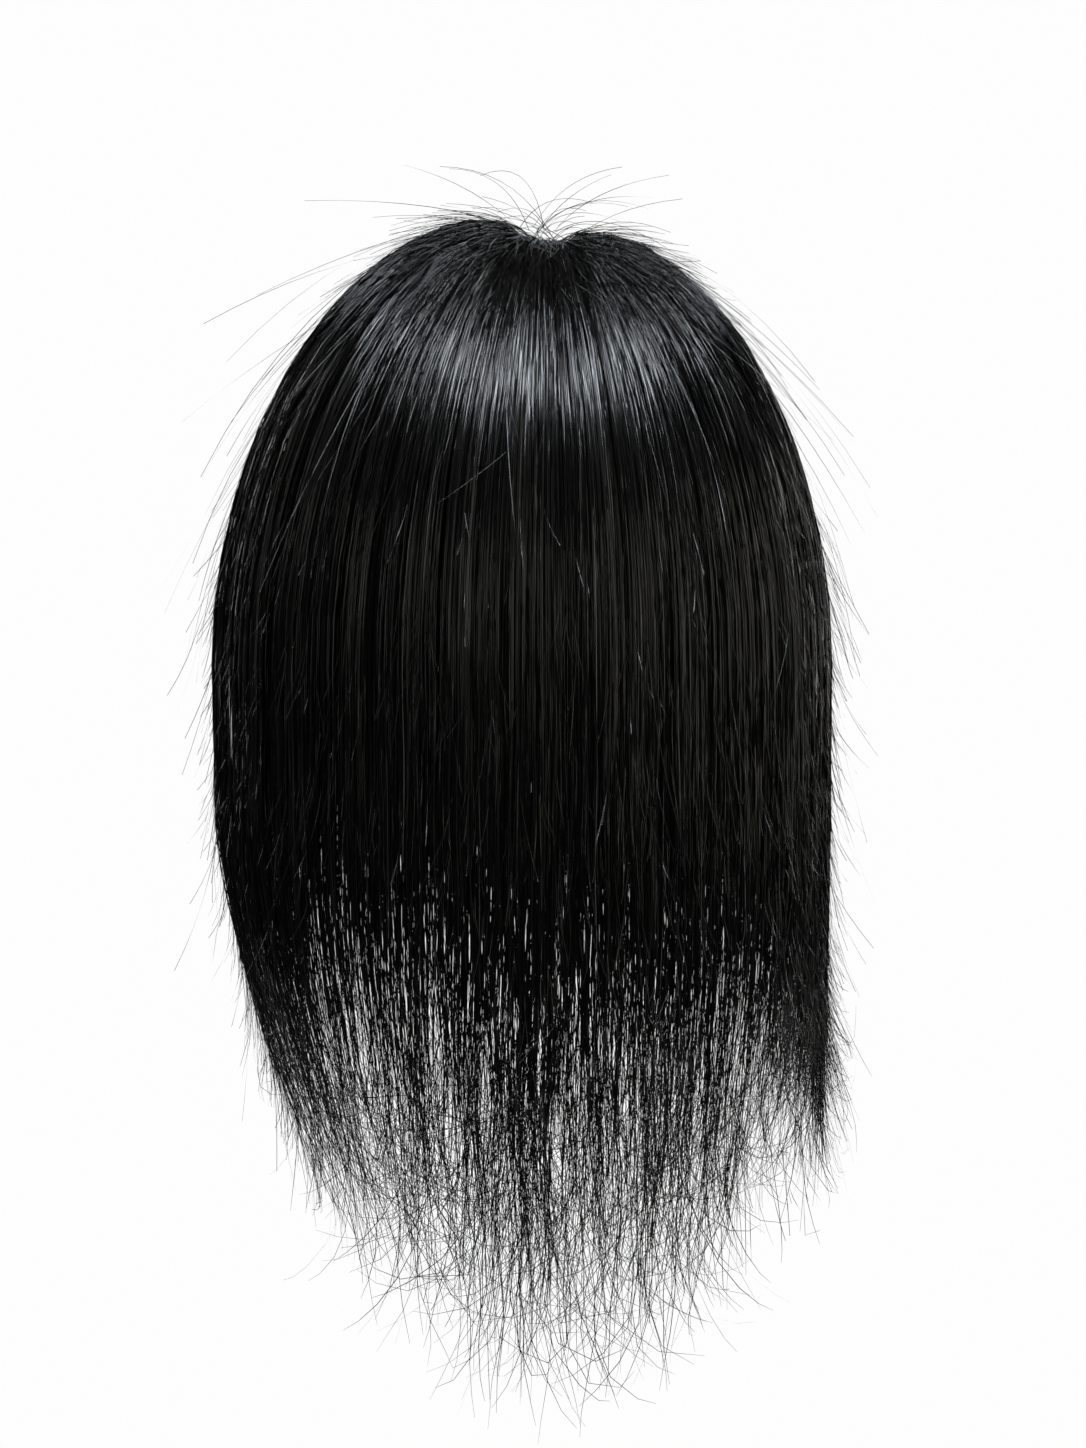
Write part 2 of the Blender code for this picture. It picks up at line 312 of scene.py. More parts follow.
# The floor lies far below the piece, and glows only for the camera
FLOOR_LEVEL = -1.9
FLOOR_RADIUS = 6.0
FLOOR_SIDES = 64
FLOOR_GLOW = 0.84

# Soft lights, in metres and watts
COOL = (0.86, 0.93, 1.0)
WARM = (1, 0.97, 0.92)
LESS_WARM = (1, 0.96, 0.9)
WHITE = (1, 1, 1)
MIDDLE = (0, 0, -0.12)
LIGHT_COLUMNS = ("name", "location", "size", "power", "color", "target")
LIGHTS = (
    ("overhead_softbox", (0, -0.60, 1.04), (1.7, 0.12), 15.5, COOL, (0, -0.07, -0.035)),
    ("crown_strip", (0, 1.1, 0.45), (1.4, 0.25), 1.7, COOL, (0, -0.02, 0)),
    ("left_shoulder_box", (-0.62, -0.25, 0.95), (0.6, 0.2), 5.3, COOL, (-0.05, -0.04, -0.02)),
    ("right_shoulder_box", (0.62, -0.25, 0.95), (0.6, 0.2), 6.8, COOL, (0.05, -0.04, -0.02)),
    ("left_camera_strip", (-0.7, -1.6, 0.27), (0.25, 0.7), 1.7, WARM, MIDDLE),
    ("right_camera_strip", (0.9, -1.5, 0.27), (0.25, 0.7), 1.9, WARM, MIDDLE),
    ("right_strip", (1.5, -0.2, 0.15), (0.35, 0.9), 4, LESS_WARM, MIDDLE),
    ("front_left_strip", (-1.0, 1.5, 0.15), (0.35, 0.8), 4, WHITE, MIDDLE),
    ("front_right_strip", (1.0, 1.5, 0.15), (0.35, 0.8), 4, WHITE, MIDDLE),
    ("under_box", (0, 0, -1.6), (1.2, 1.2), 5, WHITE, (0, 0, 0)),
)


def station(row, degrees):
    """The row's value at these angles."""
    return np.interp(degrees, STATIONS["degrees"], STATIONS[row])


def stack(*parts):
    return np.stack(np.broadcast_arrays(*parts), axis=-1)


def unit(vectors):
    return vectors / np.maximum(np.linalg.norm(vectors, axis=-1, keepdims=True), 1e-12)


def grown(value, start, run, limit=1):
    """0 up to start, 1 a run after it, and no more than the limit."""
    return np.clip((value - start) / run, 0, limit)


def root_plan(degrees):
    """Where hair at this angle grows from, in plan: round the whorl, or along the parting."""
    side = np.where(degrees < 0, -1.0, 1.0)
    reach = np.minimum(np.abs(degrees), WHORL_REACH_DEG)
    turn = np.radians(reach)
    whorl = stack(side * WHORL_RADIUS * np.sin(turn), -WHORL_BACK - WHORL_RADIUS * np.cos(turn))
    front = stack(side * PARTING_HALF_GAP, CAP_HALF_LENGTH - PARTING_EDGE)
    share = (np.abs(degrees) - reach) / (STATIONS["degrees"][-1] - WHORL_REACH_DEG)
    return whorl + (front - whorl) * share[..., None]


def brim_plan(degrees):
    """The head's widest outline at this angle, in plan."""
    turn = np.radians(degrees)
    return stack(HEAD_HALF_WIDTH * np.sin(turn), -HEAD_HALF_DEPTH * np.cos(turn))


def head_surface(plan):
    """How high the head stands above its widest level over these points, and the normals there."""
    spread = (plan[..., 0] / HEAD_HALF_WIDTH) ** 2 + (plan[..., 1] / HEAD_HALF_DEPTH) ** 2
    rise = CROWN_HEIGHT * np.sqrt(np.maximum(0.0, 1 - spread))
    slopes = (
        plan[..., 0] / HEAD_HALF_WIDTH**2,
        plan[..., 1] / HEAD_HALF_DEPTH**2,
        rise / CROWN_HEIGHT**2,
    )
    return rise, unit(stack(*slopes))


def over_head(plan, height):
    """Points this high above the head over these plan points, and the normals there."""
    rise, normal = head_surface(plan)
    point = stack(plan[..., 0], plan[..., 1], rise - CROWN_HEIGHT)
    return point + normal * np.asarray(height)[..., None], normal


def flow(degrees, turn, fall, layer, root_turn):
    """Points in the hair and the outward normals there. Turn runs from 0 at the parting to a
    quarter circle at the widest level, fall is how far below that, and layer runs from 0 at the
    scalp to 1 at the outside. A strand leaves the cap at root_turn and rises to its layer."""
    root = root_plan(degrees)
    brim = brim_plan(degrees)
    reach = np.sin(turn)
    plan = root + (brim - root) * reach[..., None]
    rise, normal = head_surface(plan)
    drawn = np.maximum(0.0, fall - GATHER_START) / GATHER_RUN
    keep = 1 - station("gather", degrees) * drawn**GATHER_POWER
    point = stack(plan[..., 0] * keep, plan[..., 1] * keep, rise - CROWN_HEIGHT - fall)
    crown = CROWN_DEPTH * station("crown", degrees)
    depth = crown + (SIDE_DEPTH * station("side", degrees) - crown) * reach
    lift = LOOSE_LIFT * station("lift", degrees) * reach**2
    fallen = np.minimum(1.0, fall / (HANG_LENGTH * station("hang", degrees)))
    thick = depth * (1 + (TIP_DEPTH_SHARE - 1) * fallen**THINNING_POWER)
    full = SEAT_GAP + lift + depth - (1 - layer) * thick
    gone = np.linalg.norm(brim - root, axis=-1) * (reach - np.sin(root_turn))
    risen = 1 - np.exp(-gone / ROOT_RUN)
    started = ROOT_DEPTH * layer * (1 - np.exp(-gone / ROOT_START))
    height = CAP_THICKNESS + full * risen + started * (1 - risen)
    return point + normal * height[..., None], normal


def mesh_from_arrays(name, points, quads, normals, tones):
    mesh = bpy.data.meshes.new(name)
    mesh.vertices.add(len(points))
    mesh.vertices.foreach_set("co", points.astype(np.float32).ravel())
    mesh.loops.add(quads.size)
    mesh.loops.foreach_set("vertex_index", quads.astype(np.int32).ravel())
    mesh.polygons.add(len(quads))
    mesh.polygons.foreach_set("loop_start", np.arange(0, quads.size, 4, dtype=np.int32))
    mesh.polygons.foreach_set("use_smooth", np.ones(len(quads), dtype=bool))
    mesh.update(calc_edges=True)
    tone = mesh.attributes.new("tone", "FLOAT", "POINT")
    tone.data.foreach_set("value", tones.astype(np.float32).ravel())
    mesh.normals_split_custom_set_from_vertices(normals.astype(np.float32))
    return mesh


def joined(parts):
    """Several sets of arrays as one."""
    start = 0
    quads = []
    for part in parts:
        quads.append(part[1] + start)
        start += len(part[0])
    points, _, normals, tones = (np.concatenate(column) for column in zip(*parts))
    return points, np.concatenate(quads), normals, tones


def shown_piece(name, arrays, material):
    mesh = mesh_from_arrays(name, *arrays)
    mesh.materials.append(material)
    piece = bpy.data.objects.new(name, mesh)
    bpy.context.scene.collection.objects.link(piece)
    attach(piece, "root")
    return piece


def strand_arrays(rng, paths, normals, widths, roll, tones):
    """Narrow bands along the paths, which twist slowly and whose normals turn across them as a
    round hair's do: points, quads, normals and tones."""
    count, steps, _ = paths.shape
    along = unit(np.gradient(paths, axis=1))
    side = unit(np.cross(along, normals))
    out = np.cross(side, along)
    share = np.linspace(0, 1, steps)[None, :]
    turns = rng.uniform(*TWIST_TURNS, (count, 1))
    starts = rng.uniform(*TWIST_STARTS, (count, 1))
    turned = roll[:, None] + TWIST * np.sin(turns * share + starts)
    cosine = np.cos(turned)[..., None]
    sine = np.sin(turned)[..., None]
    edge = side * cosine + out * sine
    face = out * cosine - side * sine
    half = widths[..., None] / 2
    points = np.stack([paths - edge * half, paths + edge * half], axis=2)
    kinks = along * rng.normal(0, KINK, (count, steps, 1))
    straight = unit(face + kinks) * math.cos(ROUND_TURN)
    tilted = edge * math.sin(ROUND_TURN)
    facing = np.stack([straight - tilted, straight + tilted], axis=2)
    a = 2 * ((np.arange(count) * steps)[:, None] + np.arange(steps - 1)[None, :])
    quads = np.stack([a, a + 1, a + 3, a + 2], axis=-1).reshape(-1, 4)
    tone = np.broadcast_to(tones[:, None, None], (count, steps, 2))
    return points.reshape(-1, 3), quads, facing.reshape(-1, 3), tone.reshape(-1)


def group_centre(degrees, pitch, offset=0.0):
    """The middle of the clump or lock that hair at this angle falls in."""
    return (np.floor(degrees / pitch + offset) + 0.5 - offset) * pitch


def hashed(values, use):
    """A repeatable value from 0 to 1 for each clump or lock, by the fractions of a steep sine."""
    return np.modf(np.abs(np.sin(values * 12.9898 + use * 78.233) * 43758.5453))[0]


def strand_lengths(rng, degrees):
    """How far each strand hangs, as a share of the full length at its angle."""
    left = rng.random(len(degrees))
    clump = group_centre(degrees, CLUMP_DEGREES)
    uneven = LEAST_UNEVEN + UNEVEN_SPREAD * hashed(clump, FOR_LENGTH)
    thinned = left ** (1 / (uneven * station("thin", degrees)))
    tapered = np.interp(1 - thinned, 1 - np.array(STILL_HANGING), LENGTH_SHARES)
    blunt = np.interp(1 - left, 1 - np.array(STILL_HANGING_BLUNT), LENGTH_SHARES)
    return np.where(rng.random(len(degrees)) < station("blunt", degrees), blunt, tapered)


def outer_strands(rng, start, end):
    """The strands on top of one section, long ones divided more finely than short ones."""
    count = OUTER_STRANDS * (end - start)
    degrees = rng.uniform(start, end, count)
    layer = 1 - OUTER_LAYERS * rng.random(count) ** OUTER_LAYER_POWER
    deep = (1 + ROOT_SCATTER - layer) / OUTER_LAYERS
    root_share = OUTER_ROOT_REACH * rng.random(count) ** OUTER_ROOT_POWER * deep
    root_share += ROOT_SCATTER * rng.random(count)
    share = strand_lengths(rng, degrees)
    short = share < SHORT_SHARE
    parts = []
    for chosen, hang_points in ((short, SHORT_HANG_POINTS), (~short, LONG_HANG_POINTS)):
        facts = (degrees[chosen], layer[chosen], root_share[chosen], share[chosen])
        parts.append(hair_strands(rng, *facts, CROWN_POINTS, hang_points))
    return parts


def under_strands(rng, start, end):
    """The strands nearer the head, which are rooted all over the cap."""
    count = UNDER_STRANDS * (end - start)
    degrees = rng.uniform(start, end, count)
    layer = rng.uniform(*UNDER_LAYERS, count)
    root_share = rng.uniform(*UNDER_ROOTS, count)
    facts = (degrees, layer, root_share, strand_lengths(rng, degrees))
    return hair_strands(rng, *facts, UNDER_CROWN_POINTS, UNDER_HANG_POINTS)


def hair_strands(rng, degrees, layer, root_share, share, crown_points, hang_points):
    """Strands along the flow, gathered into clumps and locks, waved, and curled at their ends."""
    clump = group_centre(degrees, CLUMP_DEGREES)
    lock = group_centre(degrees, LOCK_DEGREES, LOCK_OFFSET)
    lock += (hashed(lock, FOR_LOCK_SHIFT) - 0.5) * LOCK_DEGREES * LOCK_SHIFT
    length = (HANG_LENGTH * station("hang", degrees) + TIP_POINT) * share
    root_turn = np.arcsin(np.clip(root_share, 0, LAST_ROOT))
    turn, fall = strand_course(rng, length, root_turn, crown_points, hang_points)
    travelled = CROWN_RUN * np.sin(turn) + fall
    angle = gathered_angles(rng, degrees, clump, lock, fall, travelled)
    relief = (hashed(clump, FOR_CLUMP_RELIEF) - 0.5) * CLUMP_RELIEF
    relief = relief + (hashed(lock, FOR_LOCK_RELIEF) - 0.5) * LOCK_RELIEF
    layers = layer[:, None] + relief[:, None] * grown(travelled, 0, RELIEF_RUN)
    paths, normals = flow(angle, turn, fall, layers, root_turn[:, None])
    paths = waved_and_curled(rng, paths, normals, clump, length, fall, travelled)
    widths, bold = strand_widths(rng, fall, travelled)
    roll = rng.normal(0, ROLL, len(degrees)) + (hashed(clump, FOR_ROLL) - 0.5) * CLUMP_ROLL
    return strand_arrays(rng, paths, normals, widths, roll, strand_tones(rng, clump, bold))


def strand_course(rng, length, root_turn, crown_points, hang_points):
    """The turn and the fall at each point of the strands, with more points near the tip."""
    count = len(length)
    spacing = rng.uniform(*CROWN_SPACING, count)[:, None]
    down = np.linspace(0, 1, crown_points)[None, :] ** spacing
    crown_turn = root_turn[:, None] + (QUARTER_TURN - root_turn[:, None]) * down
    hang = 1 - (1 - np.linspace(0, 1, hang_points + 1)[1:]) ** HANG_SPACING
    turn = np.concatenate([crown_turn, np.full((count, hang_points), QUARTER_TURN)], axis=1)
    fall = np.concatenate([np.zeros((count, crown_points)), length[:, None] * hang[None, :]], axis=1)
    return turn, fall


def gathered_angles(rng, degrees, clump, lock, fall, travelled):
    """The angle round the head at each point: drawn to the clump, then to the lock, frayed a
    little, and swept towards the back at the sides."""
    count = len(degrees)
    away = np.abs(degrees)
    clumped = grown(travelled, 0, CLUMP_RUN) * CLUMP_PULL
    locked = grown(fall, LOCK_START, LOCK_RUN) ** LOCK_POWER * LOCK_PULL
    angle = degrees[:, None] + (clump - degrees)[:, None] * clumped
    angle = angle + (lock - clump)[:, None] * locked
    fray = rng.normal(0, FRAY_DEGREES, count)
    front_fray = rng.normal(0, FRONT_FRAY_DEGREES, count)
    fray = fray + grown(away, FRONT_START_DEG, FRONT_RUN_DEG) * front_fray
    angle = angle + fray[:, None] * grown(travelled, 0, FRAY_RUN)
    inward = SWEEP_DEGREES * grown(away, SWEEP_START_DEG, SWEEP_START_RUN_DEG)
    inward = inward * np.clip((SWEEP_END_DEG - away) / SWEEP_END_RUN_DEG, 0, 1)
    swept = grown(fall, SWEEP_START, SWEEP_RUN, SWEEP_LIMIT) ** SWEEP_POWER
    return angle - (np.sign(degrees) * inward)[:, None] * swept


def waved_and_curled(rng, paths, normals, clump, length, fall, travelled):
    """The paths with their waves, and with ends that bend along an arc towards any side."""
    count = len(length)
    side = unit(np.cross(np.gradient(paths, axis=1), normals))
    freedom = grown(fall, 0, FREEDOM_RUN) ** FREEDOM_POWER
    wave_length = rng.uniform(*WAVE_LENGTHS, count)
    wave_start = rng.uniform(0, 2 * math.pi, count)
    wave = np.sin(travelled * (2 * math.pi / wave_length)[:, None] + wave_start[:, None])
    clump_rate = CLUMP_WAVE_RATE + CLUMP_WAVE_RATE_SPREAD * hashed(clump, FOR_WAVE_RATE)
    clump_phase = CLUMP_WAVE_PHASES * hashed(clump, FOR_WAVE_PHASE)
    clump_wave = np.sin(travelled * clump_rate[:, None] + clump_phase[:, None])
    waved = wave * (WAVE_HELD + WAVE_FREE * freedom)
    sideways = waved + clump_wave * (CLUMP_WAVE_HELD + CLUMP_WAVE_FREE * freedom)

    free = SHORT_CURL + (1 - SHORT_CURL) * grown(length, CURL_FROM, CURL_RUN)
    curl_length = (free * rng.uniform(*CURL_LENGTHS, count))[:, None]
    bend = free * rng.normal(0, CURL_BEND, count)
    bend = np.where(np.abs(bend) < CURL_LEAST_BEND, CURL_LEAST_BEND, bend)[:, None]
    aim = rng.normal(0, CURL_AIM, count)
    arc = np.clip((travelled - travelled[:, -1:]) / curl_length + 1, 0, 1) * bend
    bowed = (1 - np.cos(arc)) / bend * curl_length
    shortened = (arc - np.sin(arc)) / bend * curl_length
    sideways = sideways + bowed * np.cos(aim)[:, None]
    outward = bowed * np.sin(aim)[:, None]
    outward = np.where(outward > 0, CURL_ROOM * np.tanh(outward / CURL_ROOM), outward)

    wobble_length = rng.uniform(*WOBBLE_LENGTHS, count)
    wobble_start = WOBBLE_PHASES * wave_start[:, None]
    wobble = np.sin(travelled * (2 * math.pi / wobble_length)[:, None] + wobble_start)
    outward = outward + WOBBLE * wobble * grown(travelled, 0, WOBBLE_RUN)
    paths = paths + side * sideways[..., None] + normals * outward[..., None]
    paths[..., 2] += shortened
    return paths


def strand_widths(rng, fall, travelled):
    """The width at each point, down to a fine end, and which strands are bold."""
    count = len(fall)
    taper = STRAND_WIDTH + (TIP_WIDTH - STRAND_WIDTH) * grown(fall, 0, TAPER_RUN)
    widths = taper * rng.uniform(*WIDTH_SPREAD, count)[:, None]
    left = 1 - travelled / travelled[:, -1:]
    widths = widths * np.clip(left / END_RUN + END_WIDTH, END_WIDTH, 1)
    bold = rng.random(count) < BOLD_HAIRS
    widths = widths * (1 + bold[:, None] * BOLD_EXTRA * (1 - grown(fall, 0, BOLD_RUN)))
    return widths, bold


def strand_tones(rng, clump, bold):
    count = len(clump)
    tones = CLUMP_TONE * hashed(clump, FOR_TONE) + STRAND_TONE * rng.random(count) ** 2
    tones = np.where(bold, rng.uniform(*BOLD_TONES, count), tones)
    return np.where(rng.random(count) < LIGHT_HAIRS, LIGHT_TONE, tones)


def within_room(paths):
    """Which of these hairs stay in the solids' box or a little outside it."""
    low, high = (np.array(corner) for corner in cad_box)
    margin = ROOM_SHARE * (high - low) + ROOM_MARGIN
    return ((paths > low - margin) & (paths < high + margin)).all(axis=(1, 2))


def loose_hairs(rng, count, from_run, to_run, run_length, lift, swing, width):
    """One group of single hairs that leave the outside of the hair."""
    degrees = rng.uniform(STATIONS["degrees"][0], STATIONS["degrees"][-1], count)
    start = rng.uniform(from_run, to_run, count)
    reach = run_length * rng.uniform(*LOOSE_REACH, count)
    steps = np.linspace(0, 1, LOOSE_POINTS)[None, :]
    run = np.minimum(start[:, None] + reach[:, None] * steps, LAST_RUN)
    turn = np.minimum(run, 1) * QUARTER_TURN
    fall = np.maximum(run - 1, 0) * HANG_LENGTH * station("hang", degrees)[:, None]
    zero = np.zeros((count, 1))
    paths, normals = flow(degrees[:, None], turn, fall, zero + LOOSE_LAYER, zero)
    side = unit(np.cross(np.gradient(paths, axis=1), normals))
    bow = rng.uniform(*LOOSE_BOWS, count)[:, None]
    raised = steps**bow * (lift * rng.random(count) ** LOOSE_LIFT_POWER)[:, None]
    drift = swing * rng.normal(0, LOOSE_SWING_SPREAD, count)
    aside = steps**LOOSE_SWING_POWER * drift[:, None]
    paths = paths + normals * raised[..., None] + side * aside[..., None]
    inside = within_room(paths)
    paths, normals = paths[inside], normals[inside]
    count = len(paths)
    widths = np.broadcast_to(width * (LOOSE_ROOT_WIDTH - LOOSE_NARROWING * steps), paths.shape[:2])
    tones = rng.random(count)
    return strand_arrays(rng, paths, normals, widths, rng.normal(0, LOOSE_ROLL, count), tones)


def rising_hairs(rng, count):
    """Short hairs that stand up from the parting and the whorl, and bow over to either side."""
    place = rng.random(count) ** 2
    front = CAP_HALF_LENGTH - PARTING_EDGE
    along = -WHORL_BACK - RISING_BACK + place * (front + WHORL_BACK)
    across = rng.normal(0, RISING_SPREAD, count)
    root = stack(across, along, rng.uniform(*RISING_HEIGHTS, count))
    side = np.where(rng.random(count) < 0.5, -1.0, 1.0)
    lean = rng.uniform(*RISING_LEANS, count)
    back = rng.normal(BACKWARD_LEAN, BACKWARD_SPREAD, count)
    direction = unit(stack(side * np.sin(lean), back, np.cos(lean)))
    length = rng.uniform(*RISING_LENGTHS, count)
    steps = np.linspace(0, 1, LOOSE_POINTS)
    paths = root[:, None, :] + direction[:, None, :] * (length[:, None] * steps)[..., None]
    droop = rng.uniform(*RISING_DROOPS, count)
    paths[..., 2] -= (droop * length)[:, None] * steps**2
    paths[..., 0] += (side * RISING_ASIDE * length)[:, None] * steps**2
    paths = paths[within_room(paths)]
    count = len(paths)
    normals = unit(np.broadcast_to(RISING_FACING, paths.shape))
    narrowed = RISING_WIDTH * (LOOSE_ROOT_WIDTH - RISING_NARROWING * steps)
    widths = np.broadcast_to(narrowed, paths.shape[:2])
    roll = rng.normal(0, LOOSE_ROLL, count)
    return strand_arrays(rng, paths, normals, widths, roll, rng.random(count))


def flyaway_hairs(material):
    rng = np.random.default_rng(LOOSE_HAIR_SEED)
    parts = []
    for group in LOOSE_HAIR_GROUPS:
        parts.append(loose_hairs(rng, **dict(zip(LOOSE_HAIR_COLUMNS, group))))
    parts.append(rising_hairs(rng, RISING_HAIRS))
    shown_piece("flyaway_hairs", joined(parts), material)


def closed_sheet(top, below, normals):
    """A closed sheet between two grids of points, as points, quads, normals and tones."""
    rows, columns, _ = top.shape
    points = np.concatenate([top.reshape(-1, 3), below.reshape(-1, 3)])
    index = np.arange(rows * columns).reshape(rows, columns)
    lower = index + rows * columns
    rim = np.concatenate([index[0], index[1:, -1], index[-1, -2::-1], index[-2:0:-1, 0]])
    under = rim + rows * columns
    faces = [
        np.stack([index[:-1, :-1], index[:-1, 1:], index[1:, 1:], index[1:, :-1]], -1),
        np.stack([lower[:-1, :-1], lower[1:, :-1], lower[1:, 1:], lower[:-1, 1:]], -1),
        np.stack([rim, under, np.roll(under, -1), np.roll(rim, -1)], -1),
    ]
    quads = np.concatenate([face.reshape(-1, 4) for face in faces])
    facing = np.concatenate([normals.reshape(-1, 3), -normals.reshape(-1, 3)])
    return points, quads, facing, np.full(len(points), SHEET_TONE)


def core_sheet(start, end, rng):
    """A thin sheet inside the section, which keeps light from showing through its upper part."""
    rows = CORE_CROWN_ROWS + CORE_FALL_ROWS
    degrees = np.linspace(start, end, CORE_COLUMNS)[None, :] * np.ones((rows, 1))
    ragged = CORE_FALL + CORE_RAGGED * rng.random(CORE_COLUMNS)[None, :]
    level = np.arange(rows)[:, None]
    share = np.minimum(1.0, CORE_START + (1 - CORE_START) * level / CORE_CROWN_ROWS)
    turn = share * QUARTER_TURN * np.ones((1, CORE_COLUMNS))
    fall = np.maximum(0, level - CORE_CROWN_ROWS) / (CORE_FALL_ROWS - 1) * ragged
    zero = np.zeros_like(degrees)
    top, normals = flow(degrees, turn, fall, zero + CORE_LAYER, zero)
    return closed_sheet(top, top - normals * CORE_THICKNESS, normals)


def hair_section(name, start, end, seed, material):
    rng = np.random.default_rng(seed)
    parts = outer_strands(rng, start, end)
    parts.append(under_strands(rng, start, end))
    parts.append(core_sheet(start, end, rng))
    piece = shown_piece(name + "_strands", joined(parts), material)
    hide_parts(name)


def cap_outline(turn):
    """The cap's rounded oblong outline, in plan."""
    power = 2 / CAP_SQUARENESS
    across = np.sign(np.sin(turn)) * np.abs(np.sin(turn)) ** power
    along = np.sign(np.cos(turn)) * np.abs(np.cos(turn)) ** power
    return stack(CAP_HALF_WIDTH * across, CAP_HALF_LENGTH * along)


def net_threads(slant):
    """One set of the net's parallel threads, which run slantwise over the cap inside its binding."""
    along = np.array((math.cos(slant), math.sin(slant)))
    across = np.array((-along[1], along[0]))
    reach = CAP_HALF_LENGTH + CAP_HALF_WIDTH
    rows = np.arange(-reach, reach, NET_PITCH)
    steps = np.linspace(-reach, reach, NET_STEPS)
    plan = rows[:, None, None] * across + steps[None, :, None] * along
    inset = BINDING_WIDTH / 2
    inside = (
        np.abs(plan[..., 0] / (CAP_HALF_WIDTH - inset)) ** CAP_SQUARENESS
        + np.abs(plan[..., 1] / (CAP_HALF_LENGTH - inset)) ** CAP_SQUARENESS
    ) < 1
    points, normals = over_head(plan, np.full(plan.shape[:2], CAP_THICKNESS / 2))
    side = np.cross(unit(np.gradient(points, axis=1)), normals)
    corners = [side, normals, -side, -normals]
    ring = np.stack([points + corner * NET_THREAD / 2 for corner in corners], axis=2)
    facing = np.stack(corners, axis=2)
    index = np.arange(ring.shape[0] * ring.shape[1] * len(corners)).reshape(ring.shape[:3])
    following = np.roll(index, -1, axis=2)
    walls = np.stack([index[:, :-1], index[:, 1:], following[:, 1:], following[:, :-1]], axis=-1)
    kept = inside[:, :-1] & inside[:, 1:]
    quads = np.concatenate([walls[:, :, corner][kept] for corner in range(len(corners))])
    used, quads = np.unique(quads, return_inverse=True)
    tones = np.full(len(used), NET_TONE)
    return ring.reshape(-1, 3)[used], quads.reshape(-1, 4), facing.reshape(-1, 3)[used], tones


def cap_binding():
    """The bound edge, a flat ring that swells a little along its middle."""
    turn = np.linspace(0, 2 * math.pi, BINDING_POINTS)[None, :]
    inner = 1 - BINDING_WIDTH / CAP_HALF_WIDTH
    rings = np.linspace(inner, 1, BINDING_RINGS)[:, None]
    plan = cap_outline(turn) * rings[..., None]
    swell = BINDING_SWELL * np.sin(np.pi * (rings - inner) / (1 - inner)) * np.ones_like(turn)
    upper, lower = BINDING_LEVELS
    top, normals = over_head(plan, CAP_THICKNESS * upper + swell)
    low, _ = over_head(plan, CAP_THICKNESS * lower - swell)
    return closed_sheet(top, low, normals)


def parting_tape():
    """A flat tape along the parting, nearly as long as the cap."""
    across = np.linspace(-0.5, 0.5, TAPE_ROWS)[:, None] * TAPE_WIDTH
    along = np.linspace(-CAP_HALF_LENGTH, CAP_HALF_LENGTH, TAPE_POINTS)[None, :] * TAPE_LENGTH_SHARE
    plan = stack(across, along)
    flat = np.ones(plan.shape[:2])
    upper, lower = TAPE_LEVELS
    top, normals = over_head(plan, flat * CAP_THICKNESS * upper)
    low, _ = over_head(plan, flat * CAP_THICKNESS * lower)
    return closed_sheet(top, low, normals)


def cap_net(material):
    """The net that the hair is knotted into, with its bound edge and the tape under the parting."""
    nets = [net_threads(math.radians(slant)) for slant in NET_SLANTS_DEG]
    parts = [cap_binding(), parting_tape(), *nets]
    piece = shown_piece("base_cap_net", joined(parts), material)
    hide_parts("base_cap")


def new_material(name):
    material = bpy.data.materials.new(name)
    material.use_nodes = True
    tree = material.node_tree
    return material, tree, tree.nodes["Principled BSDF"]


def object_place(tree):
    """The coordinates that stay with the piece."""
    return tree.nodes.new("ShaderNodeTexCoord").outputs["Object"]


def add_noise(tree, scale, detail):
    noise = tree.nodes.new("ShaderNodeTexNoise")
    noise.inputs["Scale"].default_value = scale
    noise.inputs["Detail"].default_value = detail
    tree.links.new(object_place(tree), noise.inputs["Vector"])
    return noise.outputs["Fac"]


def multiplied(tree, first, second):
    """The product of an output and either another output or a number."""
    product = tree.nodes.new("ShaderNodeMath")
    product.operation = "MULTIPLY"
    tree.links.new(first, product.inputs[0])
    if isinstance(second, bpy.types.NodeSocket):
        tree.links.new(second, product.inputs[1])
    else:
        product.inputs[1].default_value = second
    return product.outputs[0]


def colour_by(tree, shader, value, stops):
    """Base colours that follow the value, from stops of a position and a colour."""
    ramp = tree.nodes.new("ShaderNodeValToRGB")
    first, last = ramp.color_ramp.elements
    first.position, first.color = stops[0]
    last.position, last.color = stops[-1]
    for position, color in stops[1:-1]:
        ramp.color_ramp.elements.new(position).color = color
    tree.links.new(value, ramp.inputs["Fac"])
    tree.links.new(ramp.outputs["Color"], shader.inputs["Base Color"])


def roughness_by(tree, shader, value, glossiest, dullest):
    spread = tree.nodes.new("ShaderNodeMapRange")
    spread.inputs["To Min"].default_value = glossiest
    spread.inputs["To Max"].default_value = dullest
    tree.links.new(value, spread.inputs["Value"])
    tree.links.new(spread.outputs["Result"], shader.inputs["Roughness"])


def bump_by(tree, shader, height, strength, distance):
    bump = tree.nodes.new("ShaderNodeBump")
    bump.inputs["Strength"].default_value = strength
    bump.inputs["Distance"].default_value = distance
    tree.links.new(height, bump.inputs["Height"])
    tree.links.new(bump.outputs["Normal"], shader.inputs["Normal"])


